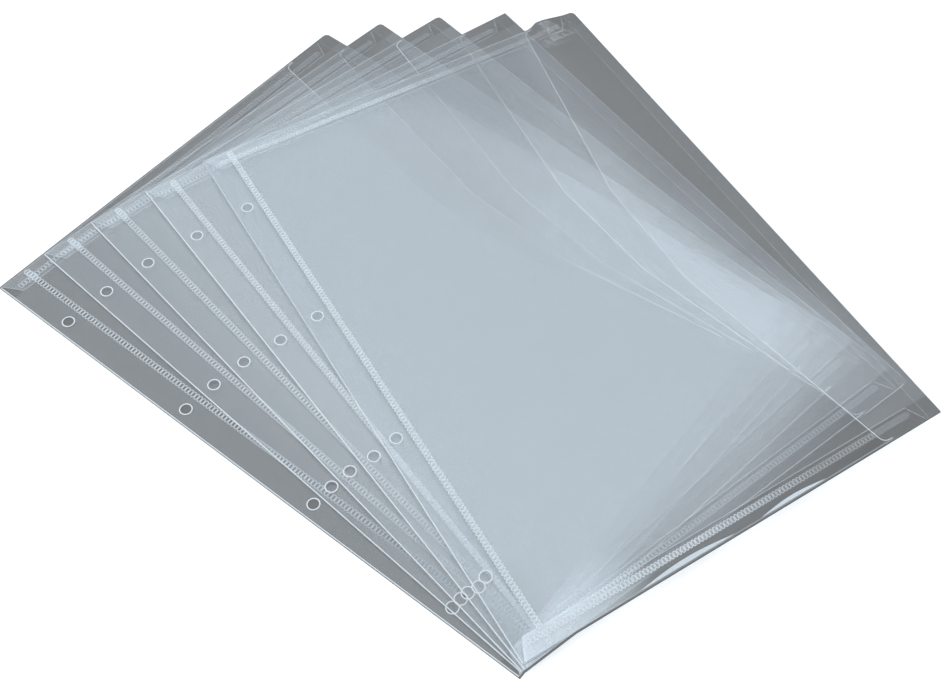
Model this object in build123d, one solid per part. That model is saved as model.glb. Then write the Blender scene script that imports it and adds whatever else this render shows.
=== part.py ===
from build123d import *
import os

# A set of five clear side-loading pockets for A4 paper, fanned about one corner.
# Millimetres, +Z up. The origin is under the middle of the lowest pocket.
# A pocket is drawn with its binding edge on x = 0, its bottom edge on y = 0 and its back on z = 0.

# Pocket sheet
pocket_width = 236.0
pocket_height = 324.0
film = 0.1
corner_radius = 2.5

# Ring holes in the binding strip
hole_diameter = 6.0
hole_pitch = 80.0
hole_count = 4
hole_inset = 7.2

# Mouth of the front film: a thumb cut between two slanted runs, flared where it meets the folds
lip_width = 35.0
thumb_depth = 24.0
thumb_length = 66.0
thumb_radius = 12.0
flare_radius = 4.0
flare_length = 5.0
flare_width = 0.6

# Hems: the top and bottom margins of the front film, folded in, with mitred ends
fold_inset = 1.0
hem_width = 10.0
hem_mitre = 5.0
hem_left_inset = 1.5
hem_right_inset = 9.0

# Lip hem: the right margin of the back film, folded in
lip_hem_width = 7.5

# Welds: crimped ribbons of fused film, one crimp face to each pair of weld spots
weld_layer = 0.1
weld_width = 3.2
spot_pitch = 2.0
spots_per_crimp = 2
crimp_depth = 0.04
binding_weld_inset = 15.0
edge_weld_inset = 7.5
weld_clearance = 0.3

# Fan: turn in degrees and shift of the lower-left corner of each pocket, from the lowest up
stack_gap = 0.8
fan = (
    (0.0, 0.0, 0.0),
    (-4.42, 1.6, 0.0),
    (-9.38, 1.7, 0.1),
    (-14.82, 2.5, -0.7),
    (-20.72, 3.7, 1.5),
)

# Levels above the back of a pocket
hem_level = film + weld_layer
panel_level = hem_level + film
pocket_thickness = panel_level + film

# Lines that several pieces share
fold_line = fold_inset + film
hem_edge = fold_inset + hem_width
hem_right = pocket_width - hem_right_inset
middle = pocket_height / 2
mirror_plane = Plane.XZ.offset(-middle)


def sheet(outline, level):
    """A flat film with the given outline, lying at a level."""
    return Pos(0, 0, level) * extrude(outline, film)


def ring_holes():
    """Cutters for the row of ring holes, centred on the pocket's height."""
    first = middle - hole_pitch * (hole_count - 1) / 2
    spots = [Pos(hole_inset, first + n * hole_pitch) for n in range(hole_count)]
    discs = [spot * Circle(hole_diameter / 2) for spot in spots]
    return extrude(Sketch() + discs, pocket_thickness)


def fold_nose(plane, length, side):
    """The rounded outside of a folded edge: half a rod with the film's thickness as its radius."""
    half = Circle(film) & Pos(side * film, 0) * Rectangle(2 * film, 2 * film)
    return extrude(plane * half, length)


def back_film():
    """The whole sheet behind a pocket, with its right margin folded in as a lip."""
    flat_width = pocket_width - film
    corner = (Align.MIN, Align.MIN)
    hem_height = pocket_height - 2 * fold_inset
    hem_outline = Pos(pocket_width - lip_hem_width, fold_inset) * Rectangle(
        lip_hem_width - film, hem_height, align=corner
    )
    fold_plane = Plane.XZ.offset(fold_inset - pocket_height) * Pos(flat_width, film)
    body = sheet(Rectangle(flat_width, pocket_height, align=corner), 0)
    body += sheet(hem_outline, film)
    body += fold_nose(fold_plane, hem_height, 1)
    outline = Rectangle(pocket_width, pocket_height, align=corner)
    right_corners = outline.vertices().group_by(Axis.X)[-1]
    trim = extrude(fillet(right_corners, corner_radius), 2 * film)
    return (body & trim) - ring_holes()


def front_hem():
    """The folded bottom margin of the front film, with its rounded fold and mitred ends."""
    outline = Polyline(
        (hem_left_inset, fold_line),
        (hem_right, fold_line),
        (hem_right - hem_mitre, hem_edge),
        (hem_left_inset + hem_mitre, hem_edge),
        close=True,
    )
    flare_end = pocket_width - lip_width + flare_length
    plane = Plane.YZ.offset(hem_left_inset) * Pos(fold_line, panel_level)
    nose = fold_nose(plane, flare_end - hem_left_inset, -1)
    return sheet(make_face(outline), hem_level) + nose


def front_film():
    """The sheet in front of a pocket: panel with a thumb-cut mouth, and the two folded hems."""
    mouth_end = pocket_width - lip_width
    mouth_middle = mouth_end - thumb_depth
    flare_end = mouth_end + flare_length
    lower_half = (
        ((0, fold_line), 0),
        ((flare_end, fold_line), 0),
        ((flare_end, fold_line + flare_width), 0),
        ((mouth_end, fold_line + flare_width), flare_radius),
        ((mouth_middle, middle - thumb_length / 2), thumb_radius),
    )
    upper_half = [((x, pocket_height - y), r) for (x, y), r in reversed(lower_half)]
    corners = [*lower_half, *upper_half]
    outline = FilletPolyline(
        [point for point, radius in corners],
        radius=[radius for point, radius in corners],
        close=True,
    )
    hem = front_hem()
    body = sheet(make_face(outline), panel_level) + hem + mirror(hem, about=mirror_plane)
    return body - ring_holes()


def crimped_line(start, end, height):
    """Points from start to end, one crimp apart, that rise and fall by the crimp's depth."""
    count = max(1, round((end - start) / (spots_per_crimp * spot_pitch)))
    step = (end - start) / count
    return [(start + n * step, height - crimp_depth * (n % 2)) for n in range(count + 1)]


def ribbon(plane, top):
    """A weld ribbon whose upper side follows a line of points and whose lower side is flat."""
    profile = Polyline((top[0][0], 0), *top, (top[-1][0], 0), close=True)
    return extrude(plane * make_face(profile), weld_width)


def binding_weld():
    """The seam along the binding strip, thinner where it passes under the hems."""
    hem_stop = hem_edge + weld_clearance
    far_stop = pocket_height - hem_stop
    top = crimped_line(fold_line, hem_stop, weld_layer)
    top += crimped_line(hem_stop, far_stop, weld_layer + film)
    top += crimped_line(far_stop, pocket_height - fold_line, weld_layer)
    plane = Plane.YZ.offset(binding_weld_inset - weld_width / 2) * Pos(0, film)
    return ribbon(plane, top)


def bottom_weld():
    """The seam through the bottom hem, parted where the binding seam crosses it."""
    inner_edge = edge_weld_inset + weld_width / 2
    mitre_there = hem_mitre * (inner_edge - fold_line) / (hem_edge - fold_line)
    start = hem_left_inset + mitre_there + weld_clearance
    end = hem_right - mitre_there - weld_clearance
    plane = Plane.XZ.offset(-inner_edge) * Pos(0, film)
    seam = ribbon(plane, crimped_line(start, end, weld_layer))
    crossing = Pos(binding_weld_inset, edge_weld_inset, hem_level)
    return seam - crossing * Box(weld_width, 2 * weld_width, 2 * weld_layer)


def pocket():
    """The pieces of one pocket, by name."""
    lower_seam = bottom_weld()
    return {
        "back_film": back_film(),
        "front_film": front_film(),
        "binding_weld": binding_weld(),
        "top_weld": mirror(lower_seam, about=mirror_plane),
        "bottom_weld": lower_seam,
    }


os.makedirs("parts", exist_ok=True)
pieces = pocket()
for level, (turn, shift_x, shift_y) in enumerate(fan):
    corner_x = shift_x - pocket_width / 2
    corner_y = shift_y - pocket_height / 2
    height = level * (pocket_thickness + stack_gap)
    place = Location((corner_x, corner_y, height), (0, 0, turn))
    for name, piece in pieces.items():
        export_step(place * piece, f"parts/pocket_{level + 1}_{name}.step")
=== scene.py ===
import math

import bpy
from mathutils import Matrix, Vector
from mathutils.geometry import delaunay_2d_cdt


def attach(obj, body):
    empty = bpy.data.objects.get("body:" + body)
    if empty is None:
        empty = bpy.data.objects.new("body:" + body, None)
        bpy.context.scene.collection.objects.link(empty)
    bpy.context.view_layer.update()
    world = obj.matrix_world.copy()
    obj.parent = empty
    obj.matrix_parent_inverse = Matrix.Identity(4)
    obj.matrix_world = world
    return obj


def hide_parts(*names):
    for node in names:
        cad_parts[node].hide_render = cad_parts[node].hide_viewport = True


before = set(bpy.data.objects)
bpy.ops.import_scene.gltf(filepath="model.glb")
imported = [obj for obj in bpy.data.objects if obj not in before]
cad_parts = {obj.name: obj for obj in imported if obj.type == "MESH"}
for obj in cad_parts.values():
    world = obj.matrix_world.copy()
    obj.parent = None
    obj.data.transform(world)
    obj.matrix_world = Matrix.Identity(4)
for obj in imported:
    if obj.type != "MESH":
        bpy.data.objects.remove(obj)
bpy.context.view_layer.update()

# A set of five clear side-loading pockets for A4 paper, fanned about one corner
# A pocket is drawn in millimetres: u from its binding edge, v up from its bottom edge, w up from its back
MM = 0.001

# Sheets
WIDTH, HEIGHT = 236.0, 324.0
MIDDLE = HEIGHT / 2
CORNER, SHARP_CORNER = 2.5, 0.6
EDGE_INSET, EDGE_START = 0.2, 0.3

# Ring holes
HOLE_COUNT, HOLE_RADIUS, HOLE_INSET, HOLE_PITCH = 4, 3.0, 7.2, 80.0
HOLE_SIDES, RIM_INSET = 32, 0.15

# Lip of the back film past the mouth, and its folded hem
LIP_WIDTH, LIP_HEM, LIP_INSET, LIP_NOSE = 35.0, 7.5, 1.0, 0.1
LIP_EDGE_INSET = 1.4

# Binding edge, folds and hems of the front film
BINDING_EDGE, FOLD, FOLD_START = 0.6, 1.1, 0.9
HEM_EDGE, HEM_MITRE, HEM_LEFT, HEM_RIGHT = 11.0, 5.0, 1.5, 227.0

# Mouth: a thumb cut between two slanted runs, flared where it meets the folds
THUMB_DEPTH, THUMB_LENGTH, THUMB_RADIUS = 24.0, 66.0, 12.0
FLARE_RADIUS, FLARE_LENGTH, FLARE_WIDTH = 4.0, 5.0, 0.6
MOUTH_END = WIDTH - LIP_WIDTH
MOUTH_MIDDLE = MOUTH_END - THUMB_DEPTH
FLARE_END = MOUTH_END + FLARE_LENGTH
MOUTH_SLANT = THUMB_DEPTH / (MIDDLE - THUMB_LENGTH / 2 - FOLD - FLARE_WIDTH)

# Weld seams: rows of spots, each a ring with a raised ridge round a pressed floor
BINDING_SEAM, EDGE_SEAM, CROSSING_INSET = 15.0, 7.5, 0.5
SPOT_PITCH, SPOT_LENGTH, SPOT_WIDTH = 2.0, 3.4, 1.9
SPOT_RIDGE, SPOT_RISE, SPOT_FLOOR = 0.45, 0.05, 0.01
SPOT_PROFILE = ((0.0, 0.0), (SPOT_RIDGE / 2, SPOT_RISE), (SPOT_RIDGE, SPOT_FLOOR))
SPOT_END_STEPS = 5
RIBBON_SLACK = 0.01

# Painted highlights on the top pocket's bottom fold: white lens-shaped patches where it bulges and catches
# the light, each a start, end and width
PAINTED_FOLD_HIGHLIGHTS = ((60.0, 112.0, 2.2), (127.0, 165.0, 1.8))
HIGHLIGHT_STEPS, HIGHLIGHT_INSET, HIGHLIGHT_LIFT = 24, 0.3, 0.06

# Welts along edges: width and height, and their profile as shares of both
SHEET_WELT = (0.35, 0.04)
LIP_WELT = (0.25, 0.03)
BINDING_WELT = (0.5, 0.06)
FOLD_WELT = (0.4, 0.05)
HEM_WELT = (0.3, 0.03)
RIM_WELT = (0.6, 0.08)
WELT_PROFILE = ((-0.5, 0), (-0.25, 1), (0.25, 1), (0.5, 0))

# Film thickness, undersides of back, lip hem, welds, front hems and panel, and step between pockets
FILM = 0.08
BACK, LIP, WELD, HEM, PANEL = 0.02, 0.12, 0.12, 0.22, 0.32
TOP = PANEL + FILM
POCKET_STEP = 1.2

# Longest runs in lines, films, the film with the curl and weld ribbons, and steps round corners
LINE_SPACING, FILM_SPACING, FINE_SPACING, RIBBON_SPACING = 6.0, 9.0, 4.0, 40.0
CORNER_STEPS, MOUTH_STEPS = 6, 10
RIM_CLEARANCE = 0.6
FILL_INSIDE, MERGE_DISTANCE = 1, 1e-5

# Turn in degrees and shift of the lower-left corner of each pocket, from the lowest up
FAN = (
    (0.0, 0.0, 0.0),
    (-4.42, 1.6, 0.0),
    (-9.38, 1.7, 0.1),
    (-14.82, 2.5, -0.7),
    (-20.72, 3.7, 1.5),
)
TOP_POCKET = len(FAN)

# Curl of the top pocket's upper lip corner: its height, its rise and fall along u, and its run along v
CURL_HEIGHT = 3.5
CURL_RISE, CURL_FALL, CURL_RUN = (206.0, 210.0), (211.0, 234.0), (306.0, HEIGHT + 4)

# Waviness of the films: its middle, a wave's height, and each wave's spread along u and v and phase
WAVE_MIDDLE, WAVE_HEIGHT = 0.15, 0.075
WAVES = ((31.0, 57.0, 0.0), (-71.0, 43.0, 1.3))

# Optics of the film: tints, the rise of the mirror at a slant, and the light let through in shadows
CLEAR = (0.998, 0.999, 1.0, 1)
# SHADED darkens the lines along the set's outer edges, a painted contact shadow on the table
SHADED = (0.86, 0.865, 0.87, 1)
PRESSED = (0.90, 0.905, 0.91, 1)
THINLY_PRESSED = (0.98, 0.985, 0.99, 1)
# Colour of the white share: milky welds, and painted highlights on edges, rims and spots
MILK_AND_HIGHLIGHT = (0.95, 0.97, 0.98, 1)
WHITE = (1, 1, 1, 1)
STRAIGHT_THROUGH = 1.0
SLANT_BLEND, SLANT_POWER = 0.5, 5.0
SHADOW_SHARE = 0.96

# Grain of milky film, bumps of clear film, and its duller mirror over the hems, in metres from the middle
GRAIN_SCALE, GRAIN_DETAIL, GRAIN_SPREAD = 900.0, 2.0, 0.3
BUMP_SCALE, BUMP_DETAIL, BUMP_HEIGHT = 9.0, 1.0, 0.0006
DULL_START, DULL_END, DULL_SHARE = 0.1505, 0.1515, 0.35

# How steeply the lip of a back film droops past the mouth
LIP_SLOPE = 0.055

# Looks: mirror is the share reflected head-on, then the white share, partly milky film and partly painted
# highlight where edges, rims and spots catch the light, and glow the part of it lit from behind
# A fade of the white share along the sheet is an axis, its start and end in metres, and the share kept at
# each; it is painted light, brighter where lines and spots catch the light
LOOKS = {
    # Films: the hems' white share fades out away from the binding end, a painted highlight that is stronger
    # on the lower hem
    "clear_film": {"mirror": 0.046},
    "drooping_film": {"mirror": 0.046, "droops": True},
    "lip_film": {"mirror": 0.012, "droops": True},
    "hem_film": {"mirror": 0.012, "milk_and_highlight": 0.08, "painted_light_fade": ("X", 0.015, 0.07, 1.0, 0.0)},
    "low_hem_film": {"mirror": 0.012, "milk_and_highlight": 0.34, "painted_light_fade": ("X", 0.015, 0.07, 1.0, 0.0), "glow": 0.05},
    # Edges: their white share paints the bright lines that cut and folded film edges and punched rims show
    # where they catch the light, a painted highlight; the shaded edge is a darker line of painted shadow
    "shaded_edge": {"mirror": 0.03, "tint": SHADED},
    "faint_edge": {"milk_and_highlight": 0.09, "roughness": 0.2},
    "folded_edge": {"milk_and_highlight": 0.3, "roughness": 0.2},
    "cut_edge": {"milk_and_highlight": 0.98, "roughness": 0.2, "glow": 0.05},
    "mouth_edge": {"milk_and_highlight": 0.9, "painted_light_fade": ("Y", 0.27, 0.305, 0.3, 1.0), "roughness": 0.2},
    "under_edge": {"milk_and_highlight": 0.9, "painted_light_fade": ("Y", 0.1, 0.16, 0.9, 0.3), "roughness": 0.2, "glow": 0.05},
    "second_edge": {"milk_and_highlight": 0.98, "painted_light_fade": ("Y", 0.19, 0.27, 1.0, 0.15), "roughness": 0.2, "glow": 0.05},
    "fading_edge": {"milk_and_highlight": 0.98, "painted_light_fade": ("Y", 0.13, 0.2, 1.0, 0.45), "roughness": 0.2, "glow": 0.05},
    "painted_fold_highlight": {"mirror": 0.6, "milk_and_highlight": 0.95, "roughness": 0.3},
    "punched_rim": {"milk_and_highlight": 0.98, "roughness": 0.25, "glow": 0.05},
    # Floors of weld spots
    "weld_spot_floor": {"mirror": 0.012, "tint": PRESSED},
    "weld_spot_clear_floor": {"mirror": 0.012, "tint": THINLY_PRESSED},
    "weld_spot_pale_floor": {"mirror": 0.012, "milk_and_highlight": 0.12, "roughness": 0.3, "glow": 0.05},
    "weld_spot_fading_floor": {
        "mirror": 0.012, "milk_and_highlight": 0.12, "painted_light_fade": ("X", 0.1, 0.165, 1.0, 0.0), "roughness": 0.3, "glow": 0.05,
    },
    # Weld spots: milky welds, with their white share raised as a painted highlight where the ridges catch
    # the light
    "weld_spot": {"milk_and_highlight": 0.85, "roughness": 0.3, "glow": 0.05},
    "weld_spot_covered": {"milk_and_highlight": 0.7, "painted_light_fade": ("Y", 0.04, 0.15, 0.25, 1.0), "roughness": 0.3, "glow": 0.05},
    "weld_spot_low": {"milk_and_highlight": 0.85, "painted_light_fade": ("X", 0.1, 0.165, 1.0, 0.4), "roughness": 0.3, "glow": 0.05},
    "weld_spot_second": {"milk_and_highlight": 0.95, "painted_light_fade": ("X", 0.05, 0.08, 1.0, 0.3), "roughness": 0.3, "glow": 0.1},
    "weld_spot_lower": {"milk_and_highlight": 0.45, "painted_light_fade": ("X", 0.015, 0.075, 1.0, 0.16), "roughness": 0.3},
    "weld_spot_upper": {"milk_and_highlight": 0.6, "painted_light_fade": ("X", 0.015, 0.075, 1.0, 0.58), "roughness": 0.3, "glow": 0.2},
    "weld_spot_top": {"milk_and_highlight": 0.5, "painted_light_fade": ("X", 0.1, 0.16, 1.0, 0.5), "roughness": 0.3, "glow": 0.05},
    "weld_spot_tail": {"milk_and_highlight": 0.08, "roughness": 0.3},
    "weld_spot_faint_tail": {"milk_and_highlight": 0.03, "roughness": 0.3},
    # Weld ribbons: the crossing's white share is partly milky weld and partly a painted highlight at the
    # bright corners
    "weld_crossing": {"mirror": 0.012, "milk_and_highlight": 0.4, "roughness": 0.3},
    "weld_tail": {"mirror": 0.012, "milk_and_highlight": 0.03, "roughness": 0.3},
}

# Mirror and glow of the looks that name none
EDGE_MIRROR, EDGE_GLOW = 0.04, 0.4

# Looks of each pocket's mouth edge, from the lowest pocket up: up to which height it has which look; the
# pockets are alike, so the differences between them are painted light and shade
MOUTH_LOOKS = (
    ((HEIGHT, "mouth_edge"),),
    ((42.0, "mouth_edge"), (HEIGHT, "under_edge")),
    ((42.0, "mouth_edge"), (300.0, "under_edge"), (HEIGHT, "mouth_edge")),
    ((42.0, "mouth_edge"), (HEIGHT, "second_edge")),
    ((HEIGHT, "fading_edge"),),
)

# Looks of each pocket's weld spots and their floors, from the lowest pocket up; the pockets are alike, so
# the differences between them are painted light and shade
BINDING_LOOKS = (
    ("weld_spot_covered", "weld_spot_floor"),
    ("weld_spot_covered", "weld_spot_clear_floor"),
    ("weld_spot_covered", "weld_spot_clear_floor"),
    ("weld_spot_covered", "weld_spot_pale_floor"),
    ("weld_spot", "weld_spot_pale_floor"),
)
BOTTOM_LOOKS = (
    *[("weld_spot_lower", "weld_spot_clear_floor")] * 3,
    ("weld_spot_second", "weld_spot_clear_floor"),
    ("weld_spot_low", "weld_spot_fading_floor"),
)
TOP_LOOKS = (
    *[("weld_spot_upper", "weld_spot_clear_floor")] * 4,
    ("weld_spot_top", "weld_spot_fading_floor"),
)

# Floor: a grey table where it shows through film, white where the camera sees it
TABLE_DARK, TABLE_LIGHT = (0.087, 0.0865, 0.0855), (0.095, 0.0945, 0.0935)
TABLE_GRAIN, TABLE_GLOW = 40.0, 1.27
PAPER, PAPER_GLOW = (0.6, 0.6, 0.6, 1), 0.62
FLOOR_REACH, FLOOR_LEVEL, FLOOR_INSET = 4.0, -0.00005, 1.2

# Sky: colours by height, and changes at its sides, each a start, an end, and the value at both
SKY_STOPS = (
    (0.40, (0.26, 0.30, 0.335)),
    (0.60, (0.46, 0.54, 0.62)),
    (0.68, (0.60, 0.70, 0.79)),
    (0.71, (0.81, 0.935, 1.04)),
    (0.95, (0.87, 1.0, 1.11)),
)
RIGHT_SIDE = (0.4, 0.7, 0.05, -0.1)
LEFT_SIDE = (0.27, 0.33, 0.79, 1.0)

# Bright strip in the sky: its edges along X, its ends along Y, the sky beyond it, and a dark gap
STRIP_SLANT = 0.12
STRIP_NEAR_EDGE, STRIP_FAR_EDGE = (0.585, 0.605, 0.0, 2.35), (0.690, 0.716, 1.0, 0.0)
STRIP_LOW_END, STRIP_HIGH_END = (-0.08, 0.04, 0.3, 1.0), (0.35, 0.41, 1.0, 0.4)
BEYOND_STRIP = (0.705, 0.735, 1.0, 0.72)
GAP_MIDDLE, GAP_EDGE = 0.02, (0.03, 0.1, 0.2, 1.0)

# Lamp
LAMP_PLACE, LAMP_SIZE, LAMP_POWER = (-0.7, 0.9, 1.3), (1.2, 0.8), 14.0

# Camera of the photograph, measured from the lowest pocket's lower-left corner
FOCAL_PIXELS, CENTRE_X, IMAGE_WIDTH = 1223.4, 566.7, 945
CAMERA_PLACE = (-139.0, -93.5, 500.0)
CAMERA_RIGHT = (0.5913, -0.8047, 0.0527)
CAMERA_DOWN = (-0.6521, -0.5156, -0.5558)
CAMERA_AHEAD = (0.4744, 0.2943, -0.8297)
SENSOR_WIDTH, NEAREST, FARTHEST = 36.0, 0.01, 20.0
BOUNCES = 64


def ripple(u, v):
    """The slight waviness of a pocket, from 0 to 0.3 mm."""
    waves = sum(math.sin(u / along + v / up + phase) for along, up, phase in WAVES)
    return WAVE_MIDDLE + WAVE_HEIGHT * waves


def smooth(ends, x):
    """0 before the first end, 1 after the second, and an even change between."""
    low, high = ends
    t = min(1.0, max(0.0, (x - low) / (high - low)))
    return t * t * (3 - 2 * t)


def curl(u, v):
    """How far the top pocket's upper lip corner curls up, where only the back film is left."""
    along = smooth(CURL_RISE, u) * (1 - smooth(CURL_FALL, u))
    return CURL_HEIGHT * along * smooth(CURL_RUN, v)


def place(pocket, u, v, w):
    """A point of a pocket, in metres in the row frame."""
    turn, shift_u, shift_v = FAN[pocket - 1]
    cosine, sine = math.cos(math.radians(turn)), math.sin(math.radians(turn))
    x = shift_u - WIDTH / 2 + cosine * u - sine * v
    y = shift_v - HEIGHT / 2 + sine * u + cosine * v
    z = (pocket - 1) * POCKET_STEP + w + ripple(u, v)
    if pocket == TOP_POCKET:
        z += curl(u, v)
    return Vector((x, y, z)) * MM


class Shape:
    """Points and faces of one piece in pocket millimetres, with the name of a look for each face."""

    def __init__(self):
        self.points, self.faces, self.looks = [], [], []

    def add(self, points, faces_by_look):
        """Adds points, and faces of each look that count from the first of these points."""
        first = len(self.points)
        self.points += points
        for look, faces in faces_by_look.items():
            self.faces += [[first + n for n in face] for face in faces]
            self.looks += [look] * len(faces)


def rounded(corners, steps):
    """Points round a closed outline whose corners are ((u, v), radius)."""
    points = []
    for n, (corner, radius) in enumerate(corners):
        corner = Vector(corner)
        if not radius:
            points.append(corner)
            continue
        back = (Vector(corners[n - 1][0]) - corner).normalized()
        ahead = (Vector(corners[(n + 1) % len(corners)][0]) - corner).normalized()
        half = back.angle(ahead) / 2
        centre = corner + (back + ahead).normalized() * radius / math.sin(half)
        start = corner + back * radius / math.tan(half) - centre
        end = corner + ahead * radius / math.tan(half) - centre
        first = math.atan2(start.y, start.x)
        sweep = (math.atan2(end.y, end.x) - first + math.pi) % math.tau - math.pi
        for step in range(steps + 1):
            angle = first + sweep * step / steps
            points.append(centre + Vector((math.cos(angle), math.sin(angle))) * radius)
    return points


def divided(points, spacing, closed):
    """The same line with no run longer than the spacing."""
    finer = []
    following = points[1:] + points[:1] if closed else points[1:]
    for a, b in zip(points, following):
        count = max(1, math.ceil((b - a).length / spacing))
        finer += [a.lerp(b, n / count) for n in range(count)]
    return finer if closed else finer + [points[-1]]


def path(*corners):
    """A line through the given corners, divided so that it follows the waviness."""
    return divided([Vector(corner) for corner in corners], LINE_SPACING, False)


def circle(u, v, radius):
    angles = [math.tau * n / HOLE_SIDES for n in range(HOLE_SIDES)]
    return [Vector((u + radius * math.cos(a), v + radius * math.sin(a))) for a in angles]


def at_bottom(points):
    """A line at the bottom of the pocket, as it is drawn."""
    return points


def at_top(points):
    """The same line mirrored to the top of the pocket."""
    return [Vector((p.x, HEIGHT - p.y)) for p in points]


def inside(point, loops):
    """True if a point is inside the outer loop and outside the holes."""
    odd = False
    for loop in loops:
        for a, b in zip(loop, loop[1:] + loop[:1]):
            if (a.y > point.y) != (b.y > point.y):
                if point.x < a.x + (b.x - a.x) * (point.y - a.y) / (b.y - a.y):
                    odd = not odd
    return odd


def grid_points(rim, loops, spacing):
    """Points of a grid inside the loops that keep clear of the rim."""
    low = Vector((min(p.x for p in rim), min(p.y for p in rim)))
    high = Vector((max(p.x for p in rim), max(p.y for p in rim)))
    points = []
    for i in range(1, int((high.x - low.x) / spacing) + 1):
        for j in range(1, int((high.y - low.y) / spacing) + 1):
            p = low + Vector((i, j)) * spacing
            nearest = min((p - q).length_squared for q in rim)
            if nearest > (RIM_CLEARANCE * spacing) ** 2 and inside(p, loops):
                points.append(p)
    return points


def open_edges(faces):
    """The edges that only one face has, in the order in which they first turn up."""
    found = {}
    for face in faces:
        for a, b in zip(face, face[1:] + face[:1]):
            if (b, a) in found:
                del found[(b, a)]
            else:
                found[(a, b)] = True
    return list(found)


def film_sheet(shape, loops, level, look, spacing=FILM_SPACING):
    """Adds a closed film: an outer loop with holes, filled on a grid, as thick as the film."""
    loops = [divided(loop, spacing, True) for loop in loops]
    rim = [p for loop in loops for p in loop]
    edges, first = [], 0
    for loop in loops:
        edges += [(first + n, first + (n + 1) % len(loop)) for n in range(len(loop))]
        first += len(loop)
    points = rim + grid_points(rim, loops, spacing)
    flat, _, faces, *_ = delaunay_2d_cdt(points, edges, [], FILL_INSIDE, MERGE_DISTANCE)
    centres = [sum((flat[n] for n in f), Vector((0, 0))) / len(f) for f in faces]
    kept = [f for f, centre in zip(faces, centres) if inside(centre, loops)]
    count = len(flat)
    solid = [(p.x, p.y, w) for w in (level, level + FILM) for p in flat]
    below = [f[::-1] for f in kept]
    above = [[n + count for n in f] for f in kept]
    walls = [(a, b, b + count, a + count) for a, b in open_edges(kept)]
    shape.add(solid, {look: below + above + walls})


def welt(shape, line, level, size, look, closed=False):
    """Adds a slim welt along a line, as a cut or folded edge of film has."""
    width, height = size
    sides = len(WELT_PROFILE)
    count = len(line)
    points = []
    for n, p in enumerate(line):
        before = line[n - 1] if n or closed else p
        after = line[(n + 1) % count] if n + 1 < count or closed else p
        along = (after - before).normalized()
        across = Vector((-along.y, along.x))
        for share, rise in WELT_PROFILE:
            q = p + across * width * share
            points.append((q.x, q.y, level + height * rise))
    faces = []
    for n in range(count if closed else count - 1):
        a, b = sides * n, sides * ((n + 1) % count)
        faces += [(a + k, b + k, b + (k + 1) % sides, a + (k + 1) % sides) for k in range(sides)]
    if not closed:
        last = sides * (count - 1)
        faces += [tuple(range(sides)), tuple(last + k for k in reversed(range(sides)))]
    shape.add(points, {look: faces})


def hole_centres():
    return [(HOLE_INSET, MIDDLE + HOLE_PITCH * (n - (HOLE_COUNT - 1) / 2)) for n in range(HOLE_COUNT)]


def hole_loops():
    return [circle(u, v, HOLE_RADIUS) for u, v in hole_centres()]


def mouth_corners():
    """Corners of the mouth edge from the bottom fold to the top fold, with their radii."""
    lower = [
        ((FLARE_END, FOLD), 0),
        ((FLARE_END, FOLD + FLARE_WIDTH), 0),
        ((MOUTH_END, FOLD + FLARE_WIDTH), FLARE_RADIUS),
        ((MOUTH_MIDDLE, MIDDLE - THUMB_LENGTH / 2), THUMB_RADIUS),
    ]
    return lower + [((u, HEIGHT - v), radius) for (u, v), radius in reversed(lower)]


def back_sheet(pocket):
    """The film behind a pocket, with its folded lip, and lines along its edges, darkened as painted shadow
    along the set's outer edges.
    """
    shape = Shape()
    low_corner = SHARP_CORNER if pocket == TOP_POCKET else CORNER
    high_corner = SHARP_CORNER if pocket == TOP_POCKET - 1 else CORNER
    right_corners = [((WIDTH, 0), low_corner), ((WIDTH, HEIGHT), high_corner)]
    outline = rounded([((0, 0), 0), *right_corners, ((0, HEIGHT), 0)], CORNER_STEPS)
    spacing = FINE_SPACING if pocket == TOP_POCKET else FILM_SPACING
    film_sheet(shape, [outline, *hole_loops()], BACK, "drooping_film", spacing)
    inner, outer = WIDTH - LIP_HEM, WIDTH - LIP_NOSE
    low, high = LIP_INSET, HEIGHT - LIP_INSET
    lip = [((inner, low), 0), ((outer, low), CORNER), ((outer, high), CORNER), ((inner, high), 0)]
    film_sheet(shape, [rounded(lip, CORNER_STEPS)], LIP, "lip_film")
    lip_edge = path((inner, LIP_EDGE_INSET), (inner, HEIGHT - LIP_EDGE_INSET))
    welt(shape, lip_edge, LIP + FILM, LIP_WELT, "faint_edge")
    right = WIDTH - EDGE_INSET
    right_edge = path((right, low_corner), (right, HEIGHT - high_corner))
    # Only the top pocket's right edge bounds the set, so only it gets the darker line of painted shadow
    right_look = "shaded_edge" if pocket == TOP_POCKET else "faint_edge"
    welt(shape, right_edge, LIP + FILM, SHEET_WELT, right_look)
    bottom_edge = path((EDGE_START, EDGE_INSET), (WIDTH - CORNER, EDGE_INSET))
    lip_bottom = path((FLARE_END, EDGE_INSET), (WIDTH - CORNER, EDGE_INSET))
    binding_edge = path((EDGE_INSET, EDGE_START), (EDGE_INSET, HEIGHT - EDGE_START))
    bounds = {
        1: [(at_top(bottom_edge), "shaded_edge"), (binding_edge, "shaded_edge")],
        TOP_POCKET - 1: [(lip_bottom, "folded_edge")],
        TOP_POCKET: [(bottom_edge, "shaded_edge")],
    }
    for edge, look in bounds.get(pocket, ()):
        welt(shape, edge, BACK + FILM, SHEET_WELT, look)
    return shape


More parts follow.
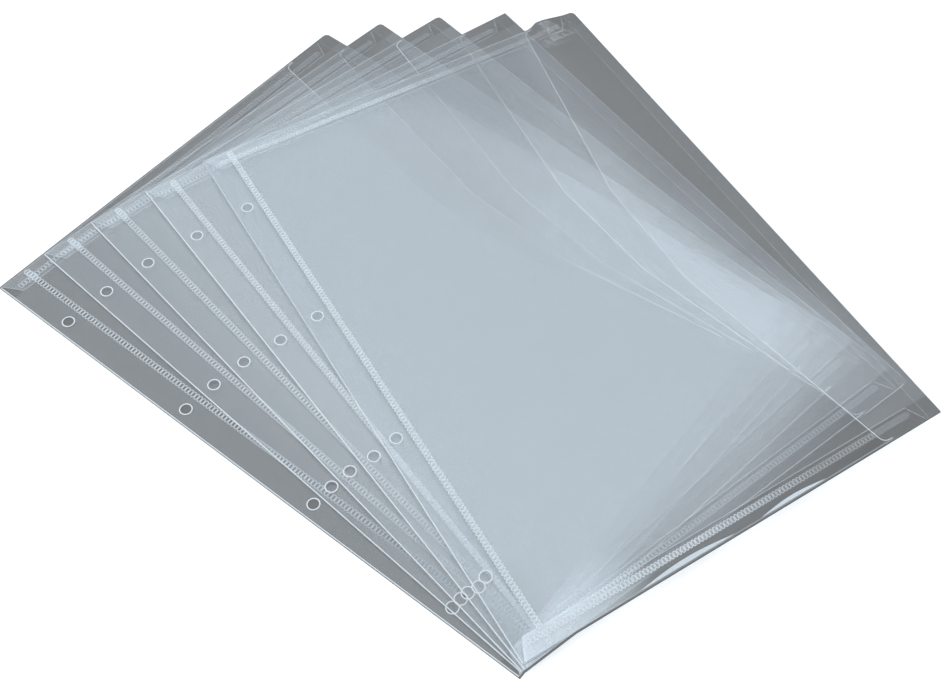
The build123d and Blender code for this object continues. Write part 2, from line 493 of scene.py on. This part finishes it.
def hem(shape, side, look):
    """Adds a folded hem of the front film, with the lines of its edges and its fold."""
    outline = [
        Vector((HEM_LEFT, FOLD)),
        Vector((HEM_RIGHT, FOLD)),
        Vector((HEM_RIGHT - HEM_MITRE, HEM_EDGE)),
        Vector((HEM_LEFT + HEM_MITRE, HEM_EDGE)),
    ]
    film_sheet(shape, [side(outline)], HEM, look)
    welt(shape, side(path(*outline[1:], outline[0])), HEM + FILM, HEM_WELT, "folded_edge")
    welt(shape, side(path((FOLD_START, FOLD), (FLARE_END, FOLD))), TOP, FOLD_WELT, "folded_edge")


def fold_highlight_patch(shape, start, end, width):
    """Adds a white lens-shaped patch on the bottom fold, a painted highlight where the fold bulges and
    catches the light.
    """
    base = FOLD + HIGHLIGHT_INSET
    lens = []
    for n in range(HIGHLIGHT_STEPS + 1):
        t = n / HIGHLIGHT_STEPS
        lens.append(Vector((start + (end - start) * t, base + width * math.sin(math.pi * t))))
    film_sheet(shape, [lens], TOP + HIGHLIGHT_LIFT, "painted_fold_highlight")


def front_sheet(pocket):
    """The film in front of a pocket: panel, hems, and the bright lines of its cut and folded edges."""
    shape = Shape()
    outline = rounded([((0, FOLD), 0), *mouth_corners(), ((0, HEIGHT - FOLD), 0)], MOUTH_STEPS)
    film_sheet(shape, [outline, *hole_loops()], PANEL, "clear_film")
    mouth = divided(outline[2:-2], LINE_SPACING, False)
    first = 0
    for limit, look in MOUTH_LOOKS[pocket - 1]:
        last = max(n for n, p in enumerate(mouth) if p.y <= limit)
        welt(shape, mouth[first:last + 1], TOP, FOLD_WELT, look)
        first = last
    binding_edge = path((BINDING_EDGE, FOLD), (BINDING_EDGE, HEIGHT - FOLD))
    # The top pocket's binding edge dims towards the top, painted light
    binding_look = "fading_edge" if pocket == TOP_POCKET else "cut_edge"
    welt(shape, binding_edge, TOP, BINDING_WELT, binding_look)
    hem(shape, at_bottom, "low_hem_film")
    hem(shape, at_top, "hem_film")
    for u, v in hole_centres():
        welt(shape, circle(u, v, HOLE_RADIUS - RIM_INSET), TOP, RIM_WELT, "punched_rim", closed=True)
    if pocket == TOP_POCKET:
        for start, end, width in PAINTED_FOLD_HIGHLIGHTS:
            fold_highlight_patch(shape, start, end, width)
    return shape


def weld_spot(shape, centre, along, level, look, floor_look):
    """Adds one weld spot, a stadium with a raised rim that lies along a direction."""
    across = Vector((-along.y, along.x))
    straight = (SPOT_LENGTH - SPOT_WIDTH) / 2
    points = []
    for inset, rise in SPOT_PROFILE:
        radius = SPOT_WIDTH / 2 - inset
        for end, start in ((1, -math.pi / 2), (-1, math.pi / 2)):
            for step in range(SPOT_END_STEPS + 1):
                angle = start + math.pi * step / SPOT_END_STEPS
                ahead = end * straight + radius * math.cos(angle)
                p = centre + along * ahead + across * radius * math.sin(angle)
                points.append((p.x, p.y, level + rise))
    sides = 2 * (SPOT_END_STEPS + 1)
    rim = []
    for low in (0, sides):
        for n in range(sides):
            after = (n + 1) % sides
            rim.append((low + n, low + after, low + sides + after, low + sides + n))
    floor_face = [2 * sides + n for n in range(sides)]
    underside = list(reversed(range(sides)))
    shape.add(points, {look: rim, floor_look: [floor_face, underside]})


def ribbon(shape, low, high, side, look):
    """Adds a slim ribbon of fused film with rounded ends between the back film and the hem."""
    radius = min(high[0] - low[0], high[1] - low[1]) / 2 - RIBBON_SLACK
    corners = [low, (high[0], low[1]), high, (low[0], high[1])]
    outline = rounded([(corner, radius) for corner in corners], CORNER_STEPS)
    film_sheet(shape, [side(outline)], WELD, look, RIBBON_SPACING)


def binding_seam(spot_looks):
    """The row of weld spots along the binding strip, whiter where it crosses the hems, partly milky weld and
    partly a painted highlight.
    """
    shape = Shape()
    count = int((HEIGHT - 2 * FOLD) / SPOT_PITCH)
    first = MIDDLE - SPOT_PITCH * (count - 1) / 2
    for n in range(count):
        centre = Vector((BINDING_SEAM, first + n * SPOT_PITCH))
        weld_spot(shape, centre, Vector((1, 0)), TOP, *spot_looks)
    left, right = BINDING_SEAM - SPOT_LENGTH / 2, BINDING_SEAM + SPOT_LENGTH / 2
    for side in (at_bottom, at_top):
        ribbon(shape, (left, FOLD + CROSSING_INSET), (right, HEM_EDGE), side, "weld_crossing")
    return shape


def edge_seam(side, spot_looks, tail_look):
    """The row of weld spots through a hem, with a fainter tail past the mouth, over a plain ribbon."""
    shape = Shape()
    look, floor_look = spot_looks
    start, end = HEM_LEFT + HEM_MITRE, HEM_RIGHT - HEM_MITRE
    for n in range(int((end - start) / SPOT_PITCH)):
        centre = Vector((start + (n + 0.5) * SPOT_PITCH, EDGE_SEAM))
        covered = centre.x < MOUTH_END
        level = TOP if covered else HEM + FILM
        spot_look = look if covered else tail_look
        weld_spot(shape, side([centre])[0], Vector((0, 1)), level, spot_look, floor_look)
    low, high = EDGE_SEAM - SPOT_LENGTH / 2, EDGE_SEAM + SPOT_LENGTH / 2
    ribbon(shape, (MOUTH_END, low), (end, high), side, "weld_tail")
    return shape


def new_tree(material):
    """The empty node tree of a material or a world."""
    material.use_nodes = True
    material.node_tree.nodes.clear()
    return material.node_tree


def node(tree, kind, inputs=None, **settings):
    """A node with its settings made and its inputs set or linked."""
    made = tree.nodes.new(kind)
    for key, value in settings.items():
        setattr(made, key, value)
    for key, value in (inputs or {}).items():
        if isinstance(value, bpy.types.NodeSocket):
            tree.links.new(value, made.inputs[key])
        else:
            made.inputs[key].default_value = value
    return made


def shader(tree, kind, inputs):
    return node(tree, kind, inputs).outputs[0]


def mixed(tree, share, first, second):
    return shader(tree, "ShaderNodeMixShader", {"Fac": share, 1: first, 2: second})


def added(tree, first, second):
    return shader(tree, "ShaderNodeAddShader", {0: first, 1: second})


def calculated(tree, operation, *values):
    return node(tree, "ShaderNodeMath", dict(enumerate(values)), operation=operation).outputs[0]


def between(tree, value, band):
    """Changes a value evenly over a band, which is a start, an end, and the result at each."""
    names = ("From Min", "From Max", "To Min", "To Max")
    return node(tree, "ShaderNodeMapRange", {"Value": value, **dict(zip(names, band))}).outputs[0]


def noise(tree, inputs):
    return node(tree, "ShaderNodeTexNoise", inputs).outputs["Fac"]


def ray_is(tree, kind):
    return node(tree, "ShaderNodeLightPath").outputs[f"Is {kind} Ray"]


def colour_ramp(tree, value, stops):
    """A colour by a value, through stops of a position and a colour."""
    ramp = node(tree, "ShaderNodeValToRGB", {"Fac": value})
    elements = ramp.color_ramp.elements
    for element, (position, colour) in zip(elements, (stops[0], stops[-1])):
        element.position = position
        element.color = (*colour, 1)
    for position, colour in stops[1:-1]:
        elements.new(position).color = (*colour, 1)
    return ramp.outputs[0]


def milky_and_highlighted(tree, clear, sheet_point, axes, milk_and_highlight, painted_light_fade, glow):
    """A clear body with a grainy white share, partly milky film and partly painted highlight, which may
    change along the sheet as painted light.
    """
    grain = noise(tree, {"Vector": sheet_point, "Scale": GRAIN_SCALE, "Detail": GRAIN_DETAIL})
    share = between(tree, grain, (0.0, 1.0, (1 - GRAIN_SPREAD) * milk_and_highlight, (1 + GRAIN_SPREAD) * milk_and_highlight))
    if painted_light_fade:
        axis, *band = painted_light_fade
        share = calculated(tree, "MULTIPLY", share, between(tree, axes[axis], band))
    scattered = shader(tree, "ShaderNodeBsdfDiffuse", {"Color": MILK_AND_HIGHLIGHT})
    from_behind = shader(tree, "ShaderNodeBsdfTranslucent", {"Color": MILK_AND_HIGHLIGHT})
    return mixed(tree, share, clear, mixed(tree, glow, scattered, from_behind))


def film_bumps(tree, sheet_point, axes, from_middle, droops):
    """The normal of clear film with broad bumps, and with a lip that may droop past the mouth."""
    broad = noise(tree, {"Vector": sheet_point, "Scale": BUMP_SCALE, "Detail": BUMP_DETAIL})
    height = calculated(tree, "MULTIPLY", broad, BUMP_HEIGHT)
    if droops:
        from_thumb = calculated(tree, "SUBTRACT", from_middle, THUMB_LENGTH / 2 * MM)
        run = calculated(tree, "MAXIMUM", from_thumb, 0.0)
        mouth = calculated(tree, "MULTIPLY_ADD", run, MOUTH_SLANT, MOUTH_MIDDLE * MM)
        past = calculated(tree, "MAXIMUM", calculated(tree, "SUBTRACT", axes["X"], mouth), 0.0)
        height = calculated(tree, "MULTIPLY_ADD", past, -LIP_SLOPE, height)
    return node(tree, "ShaderNodeBump", {"Height": height, "Strength": 1.0, "Distance": 1.0}).outputs[0]


def clear_plastic(name, mirror=EDGE_MIRROR, milk_and_highlight=0.0, painted_light_fade=None, roughness=0.0, tint=CLEAR, droops=False,
                  glow=EDGE_GLOW):
    """Clear film: light goes straight through, the surface mirrors, and a share of it may be white, partly
    milky film and partly painted highlight.
    """
    material = bpy.data.materials.new(name)
    tree = new_tree(material)
    sheet_point = node(tree, "ShaderNodeUVMap", uv_map="pocket").outputs["UV"]
    axes = node(tree, "ShaderNodeSeparateXYZ", {0: sheet_point}).outputs
    facing = node(tree, "ShaderNodeLayerWeight", {"Blend": SLANT_BLEND}).outputs["Facing"]
    rise = calculated(tree, "POWER", facing, SLANT_POWER)
    gloss = {"Color": WHITE, "Roughness": roughness}
    straight = {"Color": tint, "Roughness": 0.0, "IOR": STRAIGHT_THROUGH}
    body = shader(tree, "ShaderNodeBsdfRefraction", straight)
    head_on = mirror
    if milk_and_highlight:
        body = milky_and_highlighted(tree, body, sheet_point, axes, milk_and_highlight, painted_light_fade, glow)
    else:
        from_middle = calculated(tree, "ABSOLUTE", calculated(tree, "SUBTRACT", axes["Y"], MIDDLE * MM))
        head_on = between(tree, from_middle, (DULL_START, DULL_END, mirror, DULL_SHARE * mirror))
        gloss["Normal"] = film_bumps(tree, sheet_point, axes, from_middle, droops)
    share = calculated(tree, "MULTIPLY_ADD", rise, 1 - mirror, head_on)
    skin = mixed(tree, share, body, shader(tree, "ShaderNodeBsdfAnisotropic", gloss))
    passed = SHADOW_SHARE * (1 - milk_and_highlight)
    shadow = shader(tree, "ShaderNodeBsdfTransparent", {"Color": (passed, passed, passed, 1)})
    surface = mixed(tree, ray_is(tree, "Shadow"), skin, shadow)
    node(tree, "ShaderNodeOutputMaterial", {"Surface": surface})
    return material


def link(made):
    bpy.context.scene.collection.objects.link(made)
    return made


def piece(pocket, name, shape, cad_node):
    """Makes a mesh of a shape, set in the row frame, and lets it stand for a node of its pocket."""
    body = f"pocket_{pocket}"
    mesh = bpy.data.meshes.new(f"{body}_{name}")
    mesh.from_pydata([place(pocket, *p) for p in shape.points], [], shape.faces)
    used = list(dict.fromkeys(shape.looks))
    for look in used:
        mesh.materials.append(materials[look])
    mesh.polygons.foreach_set("material_index", [used.index(look) for look in shape.looks])
    layer = mesh.uv_layers.new(name="pocket")
    for loop in mesh.loops:
        u, v, _ = shape.points[loop.vertex_index]
        layer.data[loop.index].uv = (u * MM, v * MM)
    mesh.validate()
    made = link(bpy.data.objects.new(f"{body}_{name}", mesh))
    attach(made, body)
    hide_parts(f"{body}_{cad_node}")


def floor_material(name, white):
    """A grey table, which is white to the camera if that is asked for."""
    material = bpy.data.materials.new(name)
    tree = new_tree(material)
    grain = noise(tree, {"Scale": TABLE_GRAIN})
    table = colour_ramp(tree, grain, ((0.0, TABLE_DARK), (1.0, TABLE_LIGHT)))
    lit = shader(tree, "ShaderNodeBsdfDiffuse", {"Color": table})
    glow = shader(tree, "ShaderNodeEmission", {"Color": table, "Strength": TABLE_GLOW})
    surface = added(tree, lit, glow)
    if white:
        paper = shader(tree, "ShaderNodeBsdfDiffuse", {"Color": PAPER})
        lift = shader(tree, "ShaderNodeEmission", {"Color": WHITE, "Strength": PAPER_GLOW})
        surface = mixed(tree, ray_is(tree, "Camera"), surface, added(tree, paper, lift))
    node(tree, "ShaderNodeOutputMaterial", {"Surface": surface})
    return material


def rectangle(half_x, half_y):
    """Corners of a rectangle on the floor, round the origin."""
    signs = ((-1, -1), (1, -1), (1, 1), (-1, 1))
    return [(x * half_x, y * half_y, FLOOR_LEVEL) for x, y in signs]


def floor():
    """The floor, with a patch under the lowest pocket that stays grey."""
    patch = rectangle((WIDTH / 2 - FLOOR_INSET) * MM, (HEIGHT / 2 - FLOOR_INSET) * MM)
    mesh = bpy.data.meshes.new("floor")
    sides = [(n, (n + 1) % 4, 4 + (n + 1) % 4, 4 + n) for n in range(4)]
    outline = rectangle(FLOOR_REACH, FLOOR_REACH)
    mesh.from_pydata(outline + patch, [], [*sides, (4, 5, 6, 7)])
    mesh.materials.append(floor_material("floor", True))
    mesh.materials.append(floor_material("floor_under_base", False))
    mesh.polygons[len(sides)].material_index = 1
    link(bpy.data.objects.new("floor", mesh))


def sky():
    """A soft bluish sky, darker low down and at both sides, with a bright strip beside a dark gap."""
    world = bpy.data.worlds.new("studio")
    bpy.context.scene.world = world
    tree = new_tree(world)
    direction = node(tree, "ShaderNodeTexCoord").outputs["Generated"]
    heading = node(tree, "ShaderNodeSeparateXYZ", {0: direction}).outputs
    height = calculated(tree, "ADD", heading["Z"], between(tree, heading["X"], RIGHT_SIDE))
    colour = colour_ramp(tree, height, SKY_STOPS)
    slant = calculated(tree, "MULTIPLY_ADD", heading["Y"], STRIP_SLANT, heading["X"])
    near_edge = between(tree, heading["X"], STRIP_NEAR_EDGE)
    far_edge = between(tree, slant, STRIP_FAR_EDGE)
    low_end = between(tree, heading["Y"], STRIP_LOW_END)
    high_end = between(tree, heading["Y"], STRIP_HIGH_END)
    edges = calculated(tree, "MULTIPLY", near_edge, far_edge)
    strip = calculated(tree, "MULTIPLY", edges, calculated(tree, "MULTIPLY", low_end, high_end))
    left_side = between(tree, heading["X"], LEFT_SIDE)
    sides = calculated(tree, "MULTIPLY", left_side, between(tree, slant, BEYOND_STRIP))
    from_gap = calculated(tree, "ABSOLUTE", calculated(tree, "SUBTRACT", heading["Y"], GAP_MIDDLE))
    strength = calculated(tree, "MULTIPLY_ADD", sides, between(tree, from_gap, GAP_EDGE), strip)
    lit = shader(tree, "ShaderNodeBackground", {"Color": colour, "Strength": strength})
    white = shader(tree, "ShaderNodeBackground", {"Color": WHITE, "Strength": 1.0})
    node(tree, "ShaderNodeOutputWorld", {"Surface": mixed(tree, ray_is(tree, "Camera"), lit, white)})


def lamp():
    """A broad lamp above the set, which no film mirrors or shows."""
    light = bpy.data.lights.new("panel", "AREA")
    light.shape = "RECTANGLE"
    light.size, light.size_y = LAMP_SIZE
    light.energy = LAMP_POWER
    panel = link(bpy.data.objects.new("panel", light))
    panel.location = LAMP_PLACE
    panel.rotation_euler = (-panel.location).to_track_quat("-Z", "Y").to_euler()
    panel.visible_glossy = False
    panel.visible_transmission = False


def camera():
    """The photograph's viewpoint, in the row frame."""
    optics = bpy.data.cameras.new("camera")
    optics.sensor_width = SENSOR_WIDTH
    optics.lens = SENSOR_WIDTH * FOCAL_PIXELS / IMAGE_WIDTH
    optics.shift_x = (IMAGE_WIDTH / 2 - CENTRE_X) / IMAGE_WIDTH
    optics.clip_start, optics.clip_end = NEAREST, FARTHEST
    axes = (Vector(CAMERA_RIGHT), -Vector(CAMERA_DOWN), -Vector(CAMERA_AHEAD))
    corner = Vector((WIDTH / 2, HEIGHT / 2, 0))
    viewer = link(bpy.data.objects.new("camera", optics))
    location = Matrix.Translation((Vector(CAMERA_PLACE) - corner) * MM)
    viewer.matrix_world = location @ Matrix(axes).transposed().to_4x4()
    bpy.context.scene.camera = viewer


# The set from the lowest pocket up, then the floor, the light and the camera
materials = {name: clear_plastic(name, **look) for name, look in LOOKS.items()}
for pocket in range(1, TOP_POCKET + 1):
    binding = binding_seam(BINDING_LOOKS[pocket - 1])
    # The top pocket's lower weld tails are whiter than the others', painted light
    bottom_tail = "weld_spot_tail" if pocket == TOP_POCKET else "weld_spot_faint_tail"
    bottom = edge_seam(at_bottom, BOTTOM_LOOKS[pocket - 1], bottom_tail)
    top = edge_seam(at_top, TOP_LOOKS[pocket - 1], "weld_spot_tail")
    piece(pocket, "back_sheet", back_sheet(pocket), "back_film")
    piece(pocket, "front_sheet", front_sheet(pocket), "front_film")
    piece(pocket, "binding_seam", binding, "binding_weld")
    piece(pocket, "bottom_seam", bottom, "bottom_weld")
    piece(pocket, "top_seam", top, "top_weld")
floor()
sky()
lamp()
camera()

scene = bpy.context.scene
scene.view_settings.view_transform = "Standard"
scene.cycles.max_bounces = BOUNCES
scene.cycles.transmission_bounces = BOUNCES
scene.cycles.transparent_max_bounces = BOUNCES
